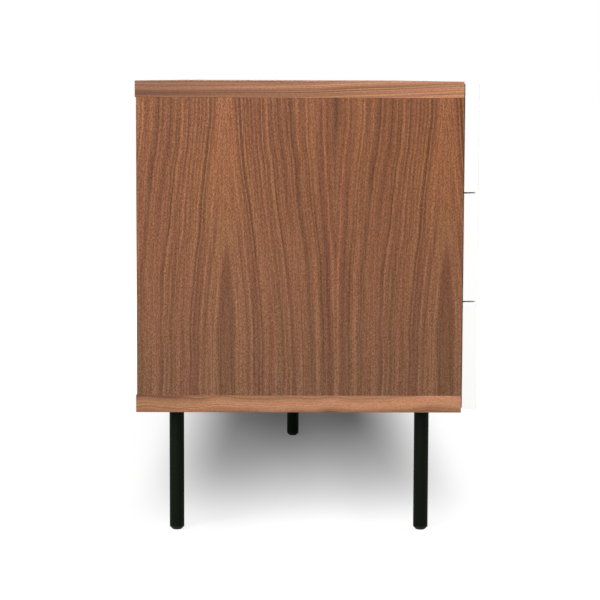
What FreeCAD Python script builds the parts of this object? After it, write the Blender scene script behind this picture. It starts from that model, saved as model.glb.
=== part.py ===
# A long, low dresser: a walnut-veneered carcass on five round steel legs, with six
# white overlay drawers in two columns, each on a pair of telescopic runners.
#
# Frame: +X along the length, the drawers open towards -Y, +Z up, and the origin on
# the floor below the middle. Millimetres. "Left" is -X, as seen from the front.

import FreeCAD, Part
import os
from math import isclose, pi

import Sketcher

# Every size that can be set by itself. The sheet of the document holds them.
SIZES = {
    # the whole object
    "length": 1800,
    "carcass_depth": 478,
    "total_height": 672,
    "leg_height": 187,
    # carcass boards
    "top_thickness": 24,
    "bottom_thickness": 25,
    "side_thickness": 24,
    "side_rear_inset": 1.5,
    "divider_thickness": 24,
    "back_thickness": 8,
    "back_recess": 4,
    "back_lap": 10,
    "back_play": 0.5,
    # drawer fronts
    "front_thickness": 21,
    "front_standoff": 1,
    "front_bottom_rise": 6,
    "front_top_drop": 3,
    "front_end_inset": 2,
    "front_row_gap": 2,
    "front_column_gap": 4,
    "front_chamfer": 1,
    "grip_length": 120,
    "grip_height": 28,
    "grip_drop": 42,
    # drawer boxes
    "box_floor_clearance": 10,
    "box_roof_clearance": 10,
    "box_rear_clearance": 20,
    "box_side_thickness": 15,
    "box_end_thickness": 15,
    "box_bottom_thickness": 6,
    "box_bottom_rise": 12,
    "groove_depth": 6,
    "groove_play": 0.2,
    "scoop_below_grip": 13,
    "scoop_beside_grip": 25,
    "scoop_slope": 20,
    # runners
    "runner_setback": 6,
    "runner_rear_gap": 4,
    "runner_height": 45,
    "runner_thickness": 13,
    "runner_metal": 1.2,
    "runner_play": 0.3,
    "runner_tip_gap": 1.5,
    "runner_rise": 40,
    # legs
    "leg_diameter": 22,
    "leg_wall": 2,
    "leg_end_inset": 60,
    "leg_front_inset": 54,
    "leg_rear_inset": 57,
    "plate_width": 70,
    "plate_thickness": 3,
    "plate_corner": 8,
    "plate_hole_diameter": 4.4,
    "plate_hole_inset": 10,
    "glide_height": 6,
    "glide_chamfer": 1.5,
    "glide_stub": 12,
    "glide_play": 0.1,
    # tongues and bumpers
    "tongue_thickness": 6,
    "tongue_width": 20,
    "tongue_inset": 40,
    "tongue_play": 0.1,
    "tongue_edge_play": 0.5,
    "bumper_diameter": 8,
    "bumper_clearance": 0.3,
    "bumper_inset": 30,
    # how far every cut starts outside the board that it cuts
    "overrun": 2,
}

ROWS = ("bottom", "middle", "top")
COLUMNS = ("left", "right")

# Two places closer than this are the same place, worked out twice.
ROUNDING = 1e-6

doc = FreeCAD.newDocument("dresser")
sheet = doc.addObject("Spreadsheet::Sheet", "sizes")
for line, (alias, value) in enumerate(SIZES.items(), 1):
    sheet.set("A%d" % line, alias)
    sheet.set("B%d" % line, str(value))
    sheet.setAlias("B%d" % line, alias)
doc.recompute()


class Size:
    """A length or place: the sheet formula that binds it, and its value for drawing."""

    def __init__(self, text, value):
        self.text = text
        self.value = value

    def __neg__(self):
        return Size("(0 - %s)" % self.text, -self.value)

    def __add__(self, other):
        return Size("(%s + %s)" % (self.text, other.text), self.value + other.value)

    def __sub__(self, other):
        return Size("(%s - %s)" % (self.text, other.text), self.value - other.value)

    def __mul__(self, scale):
        return Size("(%s * %s)" % (self.text, scale), self.value * scale)

    def __truediv__(self, scale):
        return Size("(%s / %s)" % (self.text, scale), self.value / scale)


ZERO = Size("0", 0)


def size(alias):
    return Size("sizes.%s" % alias, float(sheet.get(alias)))


def centred(middle, width):
    """The two ends of a width about its middle."""
    return middle - width / 2, middle + width / 2


def in_order(first, second):
    """Two places on one axis, the lower one first."""
    return (first, second) if first.value < second.value else (second, first)


overrun = size("overrun")

# Places that several pieces share

half_length = size("length") / 2
rear_edge = (size("carcass_depth") + size("front_standoff") + size("front_thickness")) / 2
front_face = -rear_edge
front_back = front_face + size("front_thickness")
front_edge = front_back + size("front_standoff")
middle_depth = (front_edge + rear_edge) / 2
underside = size("leg_height")
bay_floor = underside + size("bottom_thickness")
top_face = size("total_height")
bay_roof = top_face - size("top_thickness")
side_inner = half_length - size("side_thickness")
side_middle = half_length - size("side_thickness") / 2
divider_half = size("divider_thickness") / 2
back_rear = rear_edge - size("back_recess")
back_front = back_rear - size("back_thickness")
rebate_wall = side_inner + size("back_lap")

# Drawing on sketches, with every point bound to the sheet

NORMAL = FreeCAD.Vector(0, 0, 1)


def vector(x, y):
    return FreeCAD.Vector(x.value, y.value, 0)


def bind(sketch, kind, *where):
    """Adds a constraint whose last entry is a size, and binds it to the sheet."""
    amount = where[-1]
    index = sketch.addConstraint(Sketcher.Constraint(kind, *where[:-1], amount.value))
    sketch.setExpression("Constraints[%d]" % index, amount.text)


def pin_x(sketch, curve, point, x):
    if x is ZERO:
        sketch.addConstraint(Sketcher.Constraint("PointOnObject", curve, point, -2))
    else:
        bind(sketch, "DistanceX", -1, 1, curve, point, x)


def pin_y(sketch, curve, point, y):
    if y is ZERO:
        sketch.addConstraint(Sketcher.Constraint("PointOnObject", curve, point, -1))
    else:
        bind(sketch, "DistanceY", -1, 1, curve, point, y)


def outline(sketch, points):
    """A closed outline of straight lines through points, each of two sizes."""
    following = points[1:] + points[:1]
    lines = [
        sketch.addGeometry(Part.LineSegment(vector(*start), vector(*end)))
        for start, end in zip(points, following)
    ]
    for line, after in zip(lines, lines[1:] + lines[:1]):
        sketch.addConstraint(Sketcher.Constraint("Coincident", line, 2, after, 1))
    for line, (x, y) in zip(lines, points):
        pin_x(sketch, line, 1, x)
        pin_y(sketch, line, 1, y)


def rectangle(sketch, x_reach, y_reach):
    (x0, x1), (y0, y1) = x_reach, y_reach
    outline(sketch, [(x0, y0), (x1, y0), (x1, y1), (x0, y1)])


def circles(sketch, centres, diameter):
    for x, y in centres:
        circle = sketch.addGeometry(Part.Circle(vector(x, y), NORMAL, diameter.value / 2))
        pin_x(sketch, circle, 3, x)
        pin_y(sketch, circle, 3, y)
        bind(sketch, "Diameter", circle, diameter)


def rings(sketch, centres, outer_diameter, inner_diameter):
    circles(sketch, centres, outer_diameter)
    circles(sketch, centres, inner_diameter)


def stadium(sketch, middle, width, height):
    """A slot with round ends: a lower and an upper line joined by two half circles."""
    x, y = middle
    left, right = centred(x, width - height)
    low, high = centred(y, height)
    radius = height.value / 2
    lower = sketch.addGeometry(Part.LineSegment(vector(left, low), vector(right, low)))
    upper = sketch.addGeometry(Part.LineSegment(vector(right, high), vector(left, high)))
    for line, start_x, end_x, line_y in ((lower, left, right, low), (upper, right, left, high)):
        pin_x(sketch, line, 1, start_x)
        pin_y(sketch, line, 1, line_y)
        pin_x(sketch, line, 2, end_x)
        pin_y(sketch, line, 2, line_y)
    for end_x, begin, first, last in ((right, -pi / 2, lower, upper), (left, pi / 2, upper, lower)):
        circle = Part.Circle(vector(end_x, y), NORMAL, radius)
        arc = sketch.addGeometry(Part.ArcOfCircle(circle, begin, begin + pi))
        sketch.addConstraint(Sketcher.Constraint("Coincident", arc, 1, first, 2))
        sketch.addConstraint(Sketcher.Constraint("Coincident", arc, 2, last, 1))
        pin_x(sketch, arc, 3, end_x)


# Bodies, and what is added to them and cut from them

nodes = []
cuts = []


def new_node(name):
    """A body with a file of its own. It may hold several separate solids."""
    body = doc.addObject("PartDesign::Body", name)
    body.Label = name
    body.AllowCompound = True
    nodes.append(body)
    return body


def sketch_on(body, plane, place):
    """A sketch on a plane of the body's own origin, moved to a place on its third axis."""
    sketch = body.newObject("Sketcher::SketchObject", body.Name + "_sketch")
    support = [entry for entry in body.Origin.OriginFeatures if entry.Role == plane]
    sketch.AttachmentSupport = (support[0], [""])
    sketch.MapMode = "FlatFace"
    # the normal of the XZ plane points to -Y
    offset = -place if plane == "XZ_Plane" else place
    sketch.setExpression(".AttachmentOffset.Base.z", offset.text)
    return sketch


def add(body, plane, reach, draw, *sizes):
    """Pads what draw() draws on the plane, from the lower to the upper place in reach."""
    low, high = reach
    sketch = sketch_on(body, plane, high if plane == "XZ_Plane" else low)
    draw(sketch, *sizes)
    pad = body.newObject("PartDesign::Pad", body.Name + "_pad")
    pad.Profile = sketch
    pad.setExpression("Length", (high - low).text)


def cut(body, plane, reach, draw, *sizes):
    """Pockets what draw() draws on the plane, between the two places in reach."""
    low, high = reach
    sketch = sketch_on(body, plane, low if plane == "XZ_Plane" else high)
    draw(sketch, *sizes)
    pocket = body.newObject("PartDesign::Pocket", body.Name + "_pocket")
    pocket.Profile = sketch
    pocket.setExpression("Length", (high - low).text)
    cuts.append(pocket)


def chamfer(body, amount, is_chosen):
    """Chamfers the edges of the body that is_chosen(edge, bounding box) picks."""
    doc.recompute()
    tip = body.Tip
    bounds = tip.Shape.BoundBox
    names = [
        "Edge%d" % number
        for number, edge in enumerate(tip.Shape.Edges, 1)
        if is_chosen(edge, bounds)
    ]
    feature = body.newObject("PartDesign::Chamfer", body.Name + "_chamfer")
    feature.Base = (tip, names)
    feature.setExpression("Size", amount.text)
    body.Tip = feature


def same(first, second):
    """True for two places that differ only by rounding."""
    return isclose(first, second, abs_tol=ROUNDING)


# A loose tongue lies in the joint of each standing board with the top and the bottom
# panel. Its grooves stop short of both edges, so none of them shows.

standing_middles = [-side_middle, ZERO, side_middle]
tongue_run = (front_edge + size("tongue_inset"), rear_edge - size("tongue_inset"))
joint_groove_run = (
    tongue_run[0] - size("tongue_edge_play"),
    tongue_run[1] + size("tongue_edge_play"),
)
half_tongue = size("tongue_width") / 2
half_joint_groove = half_tongue + size("tongue_edge_play")


def tongues(sketch, board_middles):
    """The tongues of these boards, seen from above."""
    for middle in board_middles:
        rectangle(sketch, centred(middle, size("tongue_thickness")), tongue_run)


def joint_grooves(sketch, board_middles):
    """The grooves that the tongues lie in, seen from above."""
    width = size("tongue_thickness") + size("tongue_play") * 2
    for middle in board_middles:
        rectangle(sketch, centred(middle, width), joint_groove_run)


# Legs: one near each corner, and one below the middle of the divider

leg_x = half_length - size("leg_end_inset")
leg_front_y = front_edge + size("leg_front_inset")
leg_rear_y = rear_edge - size("leg_rear_inset")
LEGS = {
    "leg_front_left": (-leg_x, leg_front_y),
    "leg_front_right": (leg_x, leg_front_y),
    "leg_back_left": (-leg_x, leg_rear_y),
    "leg_back_right": (leg_x, leg_rear_y),
    "leg_centre": (ZERO, middle_depth),
}
leg_places = list(LEGS.values())
plate_low = underside - size("plate_thickness")
plate_hole_spread = size("plate_width") / 2 - size("plate_hole_inset")


def plate_holes(x, y):
    """The four screw holes of the plate on top of a leg."""
    spread = plate_hole_spread
    return [
        (x + spread * x_side, y + spread * y_side) for x_side in (-1, 1) for y_side in (-1, 1)
    ]


# Top and bottom panel: they cap the sides, and the back panel lies in their rebates

full_length = (-half_length, half_length)
full_depth = (front_edge, rear_edge)
rebate_depth = (back_front, rear_edge + overrun)
rebate_length = (-rebate_wall, rebate_wall)
roof_groove = (bay_roof - overrun, bay_roof + half_joint_groove)
floor_groove = (bay_floor - half_joint_groove, bay_floor + overrun)

top_panel = new_node("top_panel")
top_rebate = (bay_roof - overrun, bay_roof + size("back_lap"))
add(top_panel, "XY_Plane", (bay_roof, top_face), rectangle, full_length, full_depth)
cut(top_panel, "XZ_Plane", rebate_depth, rectangle, rebate_length, top_rebate)
cut(top_panel, "XY_Plane", roof_groove, joint_grooves, standing_middles)

bottom_panel = new_node("bottom_panel")
bottom_rebate = (bay_floor - size("back_lap"), bay_floor + overrun)
add(bottom_panel, "XY_Plane", (underside, bay_floor), rectangle, full_length, full_depth)
cut(bottom_panel, "XZ_Plane", rebate_depth, rectangle, rebate_length, bottom_rebate)
cut(bottom_panel, "XY_Plane", floor_groove, joint_grooves, standing_middles)

# Sides and divider


def standing_board(name, x_reach, y_reach, board_middle):
    """A board between the bottom and the top panel, with a groove in each end."""
    board = new_node(name)
    lower_groove = (bay_floor - overrun, bay_floor + half_joint_groove)
    upper_groove = (bay_roof - half_joint_groove, bay_roof + overrun)
    add(board, "XY_Plane", (bay_floor, bay_roof), rectangle, x_reach, y_reach)
    cut(board, "XY_Plane", lower_groove, joint_grooves, [board_middle])
    cut(board, "XY_Plane", upper_groove, joint_grooves, [board_middle])
    return board


side_depth = (front_edge, rear_edge - size("side_rear_inset"))
side_rebate_height = (bay_floor - overrun, bay_roof + overrun)

side_panel_left = standing_board(
    "side_panel_left",
    (-half_length, -side_inner),
    side_depth,
    -side_middle,
)
cut(
    side_panel_left,
    "XY_Plane",
    side_rebate_height,
    rectangle,
    (-rebate_wall, overrun - side_inner),
    rebate_depth,
)

side_panel_right = standing_board(
    "side_panel_right",
    (side_inner, half_length),
    side_depth,
    side_middle,
)
cut(
    side_panel_right,
    "XY_Plane",
    side_rebate_height,
    rectangle,
    (side_inner - overrun, rebate_wall),
    rebate_depth,
)

standing_board("centre_divider", (-divider_half, divider_half), (front_edge, back_front), ZERO)

# Tongues in the joints of the carcass

joint_tongues = new_node("joint_tongues")
for joint in (bay_floor, bay_roof):
    tongue_rise = centred(joint, size("tongue_width"))
    add(joint_tongues, "XY_Plane", tongue_rise, tongues, standing_middles)

# Back panel, in the rebates

back_half = rebate_wall - size("back_play")
back_low = bay_floor - size("back_lap") + size("back_play")
back_high = bay_roof + size("back_lap") - size("back_play")
add(
    new_node("back_panel"),
    "XZ_Plane",
    (back_front, back_rear),
    rectangle,
    (-back_half, back_half),
    (back_low, back_high),
)

# Legs: a round tube with a screwed plate on top and a glide in its lower end

tube_bore = size("leg_diameter") - size("leg_wall") * 2
tube_height = (size("glide_height"), plate_low)
for name, place in LEGS.items():
    add(new_node(name), "XY_Plane", tube_height, rings, [place], size("leg_diameter"), tube_bore)


def plate_outlines(sketch):
    """A square with cut corners on each leg, with its four holes."""
    corner = size("plate_corner")
    for x, y in leg_places:
        x0, x1 = centred(x, size("plate_width"))
        y0, y1 = centred(y, size("plate_width"))
        lower = [(x0 + corner, y0), (x1 - corner, y0), (x1, y0 + corner), (x1, y1 - corner)]
        upper = [(x1 - corner, y1), (x0 + corner, y1), (x0, y1 - corner), (x0, y0 + corner)]
        outline(sketch, lower + upper)
        circles(sketch, plate_holes(x, y), size("plate_hole_diameter"))


add(new_node("leg_plates"), "XY_Plane", (plate_low, underside), plate_outlines)

leg_glides = new_node("leg_glides")
foot_height = (ZERO, size("glide_height"))
stub_height = (size("glide_height"), size("glide_height") + size("glide_stub"))
stub_size = tube_bore - size("glide_play") * 2
add(leg_glides, "XY_Plane", foot_height, circles, leg_places, size("leg_diameter"))
add(leg_glides, "XY_Plane", stub_height, circles, leg_places, stub_size)
chamfer(
    leg_glides,
    size("glide_chamfer"),
    lambda edge, bounds: same(edge.BoundBox.ZMax, bounds.ZMin),
)

# Places in the rows and columns of drawers

rows_low = underside + size("front_bottom_rise")
rows_high = top_face - size("front_top_drop")
row_gaps = size("front_row_gap") * (len(ROWS) - 1)
front_height = (rows_high - rows_low - row_gaps) / len(ROWS)
row_pitch = front_height + size("front_row_gap")
box_rise = bay_floor + size("box_floor_clearance") - rows_low
top_box_low = rows_low + row_pitch * (len(ROWS) - 1) + box_rise
box_height = bay_roof - size("box_roof_clearance") - top_box_low
box_rear = back_front - size("box_rear_clearance")
runner_reach = (front_back + size("runner_setback"), box_rear - size("runner_rear_gap"))
nest = size("runner_metal") + size("runner_play")


def front_low(row):
    return rows_low + row_pitch * row


def box_low(row):
    return front_low(row) + box_rise


def bay_walls(column):
    """The left and the right wall of a bay, each with the sign that leads into the bay."""
    near_divider = -divider_half if COLUMNS[column] == "left" else divider_half
    near_side = -side_inner if COLUMNS[column] == "left" else side_inner
    left_wall, right_wall = in_order(near_divider, near_side)
    return (left_wall, 1), (right_wall, -1)


def channel(sketch, web, tip, rise):
    """The section of a folded channel, from the flat of its web to the tips of its flanges."""
    low, high = rise
    metal = size("runner_metal") if tip.value > web.value else -size("runner_metal")
    thickness = size("runner_metal")
    inside = web + metal
    lower = [(web, low), (tip, low), (tip, low + thickness), (inside, low + thickness)]
    upper = [(inside, high - thickness), (tip, high - thickness), (tip, high), (web, high)]
    outline(sketch, lower + upper)


def runner_height_at(row, depth_in_nest):
    """The height of a runner's channel: each one stands inside the one before it."""
    middle = box_low(row) + size("runner_rise")
    return centred(middle, size("runner_height") - nest * (2 * depth_in_nest))


def outer_channels(sketch, row, column):
    tip_place = size("runner_thickness") - size("runner_tip_gap") * 2
    for wall, inwards in bay_walls(column):
        channel(sketch, wall, wall + tip_place * inwards, runner_height_at(row, 0))


def middle_channels(sketch, row, column):
    tip_place = size("runner_thickness") - size("runner_tip_gap")
    for wall, inwards in bay_walls(column):
        web = wall + nest * inwards
        channel(sketch, web, wall + tip_place * inwards, runner_height_at(row, 1))


def inner_channels(sketch, row, column):
    tip_place = nest + size("runner_metal") + size("runner_tip_gap")
    for wall, inwards in bay_walls(column):
        web = wall + size("runner_thickness") * inwards
        channel(sketch, web, wall + tip_place * inwards, runner_height_at(row, 2))


def all_outer_channels(sketch):
    for row in range(len(ROWS)):
        for column in range(len(COLUMNS)):
            outer_channels(sketch, row, column)


add(new_node("cabinet_runners"), "XZ_Plane", runner_reach, all_outer_channels)

# Bumpers on the front edges of the sides and the divider, which the fronts meet near
# their upper corners

divider_landing = (size("front_column_gap") / 2 + divider_half) / 2
bumper_columns = [-side_middle, -divider_landing, divider_landing, side_middle]
bumper_rows = [
    front_low(row) + front_height - size("bumper_inset") for row in range(len(ROWS))
]
bumper_places = [(x, z) for x in bumper_columns for z in bumper_rows]
add(
    new_node("front_bumpers"),
    "XZ_Plane",
    (front_back + size("bumper_clearance"), front_edge),
    circles,
    bumper_places,
    size("bumper_diameter"),
)

# Drawers


def grooved(sketch, outer, inner, rise, groove_low):
    """The section of a box board with the groove for the drawer's bottom on its inner face."""
    low, high = rise
    depth = size("groove_depth") if outer.value > inner.value else -size("groove_depth")
    floor = inner + depth
    groove_high = groove_low + size("box_bottom_thickness") + size("groove_play")
    lower = [(outer, low), (inner, low), (inner, groove_low), (floor, groove_low)]
    upper = [(floor, groove_high), (inner, groove_high), (inner, high), (outer, high)]
    outline(sketch, lower + upper)


def draw_sides(sketch, outer_left, outer_right, rise, groove_low):
    thickness = size("box_side_thickness")
    grooved(sketch, outer_left, outer_left + thickness, rise, groove_low)
    grooved(sketch, outer_right, outer_right - thickness, rise, groove_low)


def draw_ends(sketch, rise, groove_low):
    thickness = size("box_end_thickness")
    grooved(sketch, front_back, front_back + thickness, rise, groove_low)
    grooved(sketch, box_rear, box_rear - thickness, rise, groove_low)


def scoop(sketch, middle, low, rim):
    """A dip in the box's front board that gives the fingers room behind the grip."""
    half_floor = size("grip_length") / 2 + size("scoop_beside_grip")
    half_mouth = half_floor + size("scoop_slope")
    floor = [(middle - half_floor, low), (middle + half_floor, low)]
    right = [(middle + half_mouth, rim), (middle + half_mouth, rim + overrun)]
    left = [(middle - half_mouth, rim + overrun), (middle - half_mouth, rim)]
    outline(sketch, floor + right + left)


def is_rim_of_front(edge, bounds):
    """True for the four outer edges of a front's face."""
    box = edge.BoundBox
    on_face = same(box.YMax, bounds.YMin)
    ends = (box.XMax, bounds.XMin), (box.XMin, bounds.XMax)
    heights = (box.ZMax, bounds.ZMin), (box.ZMin, bounds.ZMax)
    return on_face and any(same(*pair) for pair in ends + heights)


def make_drawer(row, column):
    where = "%s_%s" % (ROWS[row], COLUMNS[column])
    (left_wall, _), (right_wall, _) = bay_walls(column)
    outer_left = left_wall + size("runner_thickness")
    outer_right = right_wall - size("runner_thickness")
    inner_left = outer_left + size("box_side_thickness")
    inner_right = outer_right - size("box_side_thickness")
    low = box_low(row)
    rise = (low, low + box_height)
    board_low = low + size("box_bottom_rise")
    board_rear = front_back + size("box_end_thickness")

    front = new_node("front_%s" % where)
    ends = in_order(half_length - size("front_end_inset"), size("front_column_gap") / 2)
    front_length = ends if COLUMNS[column] == "right" else (-ends[1], -ends[0])
    front_rise = (front_low(row), front_low(row) + front_height)
    front_middle = (front_length[0] + front_length[1]) / 2
    grip_middle = front_rise[1] - size("grip_drop")
    front_depth = (front_face, front_back)
    add(front, "XZ_Plane", front_depth, rectangle, front_length, front_rise)
    chamfer(front, size("front_chamfer"), is_rim_of_front)
    cut(
        front,
        "XZ_Plane",
        (front_face - overrun, front_back + overrun),
        stadium,
        (front_middle, grip_middle),
        size("grip_length"),
        size("grip_height"),
    )

    box_sides = new_node("box_sides_%s" % where)
    side_reach = (front_back, box_rear)
    add(box_sides, "XZ_Plane", side_reach, draw_sides, outer_left, outer_right, rise, board_low)

    box_ends = new_node("box_ends_%s" % where)
    scoop_low = grip_middle - size("grip_height") / 2 - size("scoop_below_grip")
    through_board = (front_back - overrun, board_rear + overrun)
    add(box_ends, "YZ_Plane", (inner_left, inner_right), draw_ends, rise, board_low)
    cut(box_ends, "XZ_Plane", through_board, scoop, front_middle, scoop_low, rise[1])

    groove = size("groove_depth")
    bottom_height = (board_low, board_low + size("box_bottom_thickness"))
    bottom_length = (inner_left - groove, inner_right + groove)
    bottom_depth = (board_rear - groove, box_rear - size("box_end_thickness") + groove)
    box_bottom = new_node("box_bottom_%s" % where)
    add(box_bottom, "XY_Plane", bottom_height, rectangle, bottom_length, bottom_depth)

    add(new_node("box_runners_%s" % where), "XZ_Plane", runner_reach, inner_channels, row, column)
    middle_runners = new_node("middle_runners_%s" % where)
    add(middle_runners, "XZ_Plane", runner_reach, middle_channels, row, column)


for row in range(len(ROWS)):
    for column in range(len(COLUMNS)):
        make_drawer(row, column)

# Build, check and write

doc.recompute()

for entry in doc.Objects:
    if {"Invalid", "Error"} & set(entry.State):
        raise RuntimeError("%s did not build: %s" % (entry.Name, entry.State))
for pocket in cuts:
    before = pocket.BaseFeature.Shape.Volume
    if not pocket.Shape.Volume < before:
        raise RuntimeError("%s cuts nothing" % pocket.Name)
for body in nodes:
    if body.Shape.isNull() or not body.Shape.isValid() or not body.Shape.Solids:
        raise RuntimeError("%s is not a valid solid" % body.Label)

os.makedirs("parts", exist_ok=True)
for body in nodes:
    body.Shape.exportStep("parts/%s.step" % body.Label)
print(len(nodes), "nodes,", sum(len(body.Shape.Solids) for body in nodes), "solids")
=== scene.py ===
# %% [markdown]
# # A long low dresser
# The object is a walnut-veneered carcass on five black tube legs, with six white drawers
# on telescopic runners. The construction comes in as a fixed frame, in metres, with the
# length along X, the drawers opening towards -Y and the floor at Z = 0. This script gives
# every board, tube and screw the surface that the real one has.

from math import cos, pi, radians, sin, tau
from types import SimpleNamespace

import bmesh
import bpy
from mathutils import Matrix, Vector


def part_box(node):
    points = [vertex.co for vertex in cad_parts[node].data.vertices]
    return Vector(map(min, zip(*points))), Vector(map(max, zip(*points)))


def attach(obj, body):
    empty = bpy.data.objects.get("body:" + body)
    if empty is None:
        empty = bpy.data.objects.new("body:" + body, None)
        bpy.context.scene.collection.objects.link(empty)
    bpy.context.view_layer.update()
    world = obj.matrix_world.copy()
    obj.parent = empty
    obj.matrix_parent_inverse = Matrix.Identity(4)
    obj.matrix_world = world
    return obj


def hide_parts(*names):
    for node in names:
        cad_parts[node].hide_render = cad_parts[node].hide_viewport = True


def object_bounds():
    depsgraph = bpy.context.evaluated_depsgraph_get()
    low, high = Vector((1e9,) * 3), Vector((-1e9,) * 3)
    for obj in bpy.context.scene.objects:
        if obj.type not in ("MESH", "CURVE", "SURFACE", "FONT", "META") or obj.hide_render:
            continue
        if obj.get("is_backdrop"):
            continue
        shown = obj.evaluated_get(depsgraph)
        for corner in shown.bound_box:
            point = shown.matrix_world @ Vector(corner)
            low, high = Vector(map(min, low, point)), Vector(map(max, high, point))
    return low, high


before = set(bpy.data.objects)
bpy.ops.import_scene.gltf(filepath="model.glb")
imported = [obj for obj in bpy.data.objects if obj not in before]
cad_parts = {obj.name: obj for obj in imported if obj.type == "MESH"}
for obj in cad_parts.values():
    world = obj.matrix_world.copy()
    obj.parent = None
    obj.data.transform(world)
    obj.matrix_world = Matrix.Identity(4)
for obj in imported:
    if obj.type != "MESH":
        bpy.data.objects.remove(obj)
cad_low, cad_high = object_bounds()

MM = 0.001
ROWS = ("bottom", "middle", "top")
SIDES = ("left", "right")
DRAWERS = [row + "_" + side for row in ROWS for side in SIDES]
LEGS = ("leg_front_left", "leg_front_right", "leg_back_left", "leg_back_right", "leg_centre")
print("frame:", len(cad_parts), "nodes, size", [round(size, 3) for size in cad_high - cad_low])

# %% [markdown]
# ## The camera
# The picture looks almost straight at the left end from about three metres, from just
# above the height of the top, with a long lens. A long lens keeps the end panel nearly
# square and makes the far end vanish behind the near one. The three angles say how far
# the camera turns, looks down and leans.

# %% Camera
CAMERA_DISTANCE = 3.056
CAMERA_SIDEWAYS = 0.0485
CAMERA_HEIGHT = 0.6758
CAMERA_TURN = 0.01271
CAMERA_LOOKS_DOWN = 0.10512
CAMERA_LEAN = 0.0037
LENS = 126
SENSOR = 36

forward = Vector((
    cos(CAMERA_TURN) * cos(CAMERA_LOOKS_DOWN),
    -sin(CAMERA_TURN) * cos(CAMERA_LOOKS_DOWN),
    -sin(CAMERA_LOOKS_DOWN),
))
level_right = Vector((-sin(CAMERA_TURN), -cos(CAMERA_TURN), 0))
level_up = level_right.cross(forward)
right = level_right * cos(CAMERA_LEAN) + level_up * sin(CAMERA_LEAN)
up = level_up * cos(CAMERA_LEAN) - level_right * sin(CAMERA_LEAN)

camera = bpy.data.objects.new("camera", bpy.data.cameras.new("camera"))
camera.data.lens = LENS
camera.data.sensor_width = SENSOR
camera.matrix_world = Matrix((right, up, -forward)).transposed().to_4x4()
camera.location = (cad_low.x - CAMERA_DISTANCE, CAMERA_SIDEWAYS, CAMERA_HEIGHT)
bpy.context.scene.collection.objects.link(camera)
bpy.context.scene.camera = camera
print("camera:", round(CAMERA_DISTANCE, 2), "m from the near end")

# %% [markdown]
# ## Working with nodes
# Every finish below is a small tree of nodes, in which each node does one thing to what
# the nodes before it give out. Long chains of arithmetic are hard to read when every node
# takes a line, so what a node gives out is wrapped as a value here, and a plain sum with
# values adds the nodes for it. A recipe then reads like a formula.

# %% Values and the nodes they come from


class Value:
    """What a node gives out. A sum with it adds the nodes that work the sum out."""

    def __init__(self, socket):
        self.socket = socket
        self.tree = socket.id_data

    def __add__(self, other):
        return calc("ADD", self, other)

    def __sub__(self, other):
        return calc("SUBTRACT", self, other)

    def __rsub__(self, other):
        return calc("SUBTRACT", other, self)

    def __mul__(self, other):
        return calc("MULTIPLY", self, other)

    def __truediv__(self, other):
        return calc("DIVIDE", self, other)

    def __pow__(self, power):
        return calc("POWER", self, power)

    def __abs__(self):
        return calc("ABSOLUTE", self)

    __radd__ = __add__
    __rmul__ = __mul__


def feed(node, name, value):
    """Gives a node's input a plain value, or what another node gives out."""
    if isinstance(value, Value):
        value.tree.links.new(value.socket, node.inputs[name])
    else:
        node.inputs[name].default_value = value


def add_node(tree, kind, inputs=(), **settings):
    """A new node of a kind, with its settings and with its inputs fed."""
    made = tree.nodes.new(kind)
    for name, value in settings.items():
        setattr(made, name, value)
    for name, value in dict(inputs).items():
        feed(made, name, value)
    return made


def source(tree, kind, output=0, inputs=(), **settings):
    """A value from a new node that no other node has to feed."""
    return Value(add_node(tree, kind, inputs, **settings).outputs[output])


def wired(kind, inputs, output=0, **settings):
    """A value from a new node, in the tree that the values among its inputs come from."""
    inputs = dict(inputs)
    tree = next(value.tree for value in inputs.values() if isinstance(value, Value))
    return source(tree, kind, output, inputs, **settings)


# %% Arithmetic, patterns and colours


def calc(operation, *values):
    """One step of arithmetic on numbers that change over the surface."""
    return wired("ShaderNodeMath", enumerate(values), operation=operation)


def swing(value, amount):
    """A value's distance from one half, times an amount."""
    return (value - 0.5) * amount


def parts_of(place):
    """The three numbers of a place."""
    split = wired("ShaderNodeSeparateXYZ", {0: place}).socket.node
    return [Value(part) for part in split.outputs]


def place_at(*parts):
    """A place from its three numbers."""
    return wired("ShaderNodeCombineXYZ", enumerate(parts))


def noise(place, stretch, detail=2.0, roughness=0.5):
    """Noise on a place. The larger an axis is stretched, the finer the noise along it."""
    stretched = wired("ShaderNodeVectorMath", {0: place, 1: stretch}, operation="MULTIPLY")
    inputs = {"Vector": stretched, "Scale": 1.0, "Detail": detail, "Roughness": roughness}
    return wired("ShaderNodeTexNoise", inputs)


def between(value, low, high, new_low=0.0, new_high=1.0, kind="SMOOTHSTEP"):
    """Where a value lies between two limits, eased at both ends, on a new scale."""
    inputs = {"Value": value, 1: low, 2: high, 3: new_low, 4: new_high}
    return wired("ShaderNodeMapRange", inputs, interpolation_type=kind)


def evenly(value, low, high, new_low=0.0, new_high=1.0):
    """The same without the easing."""
    return between(value, low, high, new_low, new_high, "LINEAR")


def mixed(share, first, second, way="MIX"):
    """Two colours mixed by a share."""
    inputs = {0: share, 6: first, 7: second}
    return wired("ShaderNodeMix", inputs, 2, data_type="RGBA", blend_type=way)


def tinted(colour, tint):
    """A colour times a tint."""
    return mixed(1.0, colour, tint, "MULTIPLY")


# %% [markdown]
# A pattern that several materials use is a group, built once, with a named input for each
# thing that differs between them. A material then places the group, gives it its own
# values and joins the colour, the roughness and the height that come out to the shader.
# What is the same all over a surface is set on the shader itself.

# %% Groups and materials


def label(name):
    """A socket's name from a word of the script: ring_pitch becomes Ring Pitch."""
    return name.replace("_", " ").title()


def socket_kind(value):
    """The kind of a socket for a value. A word names the kind of a socket without one."""
    if isinstance(value, tuple):
        return "Color" if len(value) == 4 else "Vector"
    return value if isinstance(value, str) else {int: "Int", float: "Float"}[type(value)]


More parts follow.
